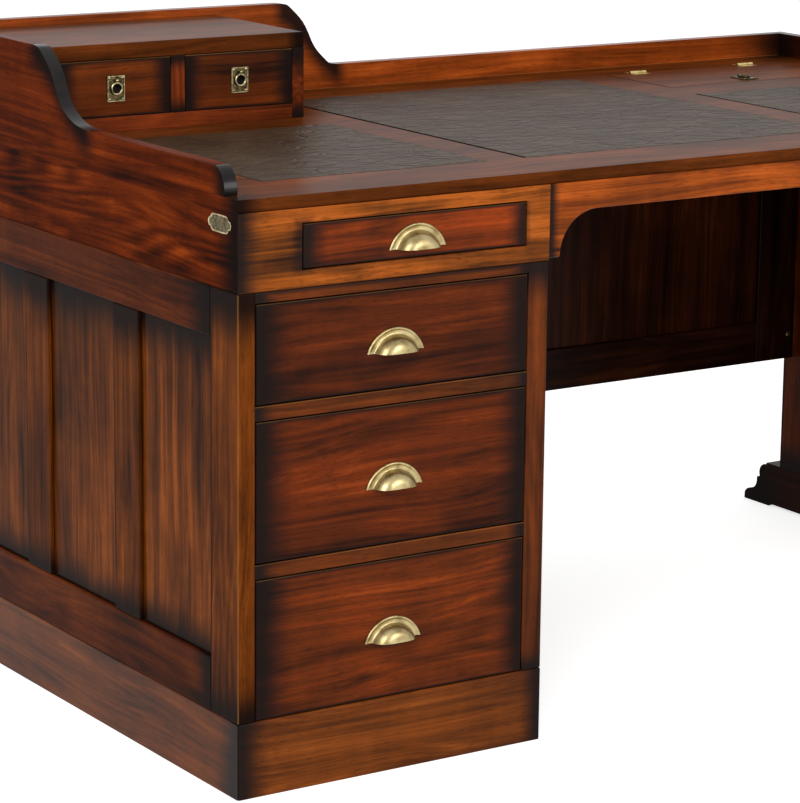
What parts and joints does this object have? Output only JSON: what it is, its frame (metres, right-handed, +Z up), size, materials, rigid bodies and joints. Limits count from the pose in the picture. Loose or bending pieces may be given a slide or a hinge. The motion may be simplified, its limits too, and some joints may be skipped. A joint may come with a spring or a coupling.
{
  "type": "captains desk",
  "caption": "Pedestal writing desk with a drawer pedestal, a panelled end on a sledge foot, a galleried leather-inlaid top, a small drawer box and a hinged flap.",
  "frame": {"origin": "on the floor, at the middle of the desk's outer length and depth", "axes": "+X along the desk's length from the pedestal to the panelled end, +Y from the sitter's side to the back, +Z up"},
  "size_m": [1.572, 0.8961, 0.915],
  "materials": {
    "leather": "semi-gloss antiqued hide",
    "brass": "antique brass, satin",
    "drawer_timber": "plain sealed timber",
    "top_wood": "mahogany stain, polished lacquer",
    "front_wood": "mahogany stain, polished lacquer",
    "frieze_wood": "mahogany stain, polished lacquer",
    "panel_wood": "mahogany stain, polished lacquer",
    "gallery_wood": "mahogany stain, polished lacquer",
    "frame_wood": "mahogany stain, polished lacquer"
  },
  "bodies": {
    "desk": {"plinth": "frieze_wood", "side_frame": "frame_wood", "side_panels": "panel_wood", "inner_side": "frame_wood", "carcass_bottom": "drawer_timber", "carcass_back": "frame_wood", "face_frame": "frame_wood", "runners": "drawer_timber", "frieze_front": "frieze_wood", "frieze_sides": "frieze_wood", "frieze_back": "frieze_wood", "frieze_runners": "drawer_timber", "dust_board": "drawer_timber", "apron": "frieze_wood", "frieze_end": "frieze_wood", "end_frame": "frame_wood", "end_panels": "panel_wood", "sledge_foot": "frame_wood", "modesty_frame": "frame_wood", "modesty_panel": "panel_wood", "bolt_heads": "brass", "leather_left": "leather", "leather_centre": "leather", "leather_right": "leather", "lid_well": "drawer_timber", "lid_ledges": "drawer_timber", "top_board": "top_wood", "case_shell": "gallery_wood", "case_top": "gallery_wood", "case_floor": "drawer_timber", "case_divider": "gallery_wood", "hinge_fixed": "brass", "gallery_left": "gallery_wood", "gallery_right": "gallery_wood", "gallery_back": "gallery_wood"},
    "drawer_frieze": {"drawer_frieze_front": "front_wood", "drawer_frieze_box": "drawer_timber", "drawer_frieze_pull": "brass"},
    "drawer_upper": {"drawer_upper_front": "front_wood", "drawer_upper_box": "drawer_timber", "drawer_upper_pull": "brass"},
    "drawer_middle": {"drawer_middle_front": "front_wood", "drawer_middle_box": "drawer_timber", "drawer_middle_pull": "brass"},
    "drawer_lower": {"drawer_lower_front": "front_wood", "drawer_lower_box": "drawer_timber", "drawer_lower_pull": "brass"},
    "small_drawer_left": {"small_left_front": "front_wood", "small_left_box": "drawer_timber", "small_left_plate": "brass"},
    "ring_left": {"small_left_ring": "brass"},
    "small_drawer_right": {"small_right_front": "front_wood", "small_right_box": "drawer_timber", "small_right_plate": "brass"},
    "ring_right": {"small_right_ring": "brass"},
    "flap": {"lid": "top_wood", "hinge_moving": "brass", "lid_pull_plate": "brass"},
    "flap_ring": {"lid_ring": "brass"}
  },
  "joints": [
    {"name": "slide_frieze", "type": "slide", "parent": "desk", "child": "drawer_frieze", "axis": [0, -1, 0], "range_m": [0, 0.5]},
    {"name": "slide_upper", "type": "slide", "parent": "desk", "child": "drawer_upper", "axis": [0, -1, 0], "range_m": [0, 0.5]},
    {"name": "slide_middle", "type": "slide", "parent": "desk", "child": "drawer_middle", "axis": [0, -1, 0], "range_m": [0, 0.5]},
    {"name": "slide_lower", "type": "slide", "parent": "desk", "child": "drawer_lower", "axis": [0, -1, 0], "range_m": [0, 0.5]},
    {"name": "slide_small_left", "type": "slide", "parent": "desk", "child": "small_drawer_left", "axis": [0, -1, 0], "range_m": [0, 0.17]},
    {"name": "ring_hinge_left", "type": "hinge", "parent": "small_drawer_left", "child": "ring_left", "pos_m": [-0.638, 0.1581, 0.8526], "axis": [-1, 0, 0], "range_deg": [0, 100]},
    {"name": "slide_small_right", "type": "slide", "parent": "desk", "child": "small_drawer_right", "axis": [0, -1, 0], "range_m": [0, 0.17]},
    {"name": "ring_hinge_right", "type": "hinge", "parent": "small_drawer_right", "child": "ring_right", "pos_m": [-0.438, 0.1581, 0.8526], "axis": [-1, 0, 0], "range_deg": [0, 100]},
    {"name": "flap_hinge", "type": "hinge", "parent": "desk", "child": "flap", "pos_m": [0.5205, 0.33775, 0.7804], "axis": [-1, 0, 0], "range_deg": [0, 145]},
    {"name": "flap_ring_hinge", "type": "hinge", "parent": "flap", "child": "flap_ring", "pos_m": [0.5205, 0.2126, 0.7839], "axis": [-1, 0, 0], "range_deg": [0, 100]}
  ]
}
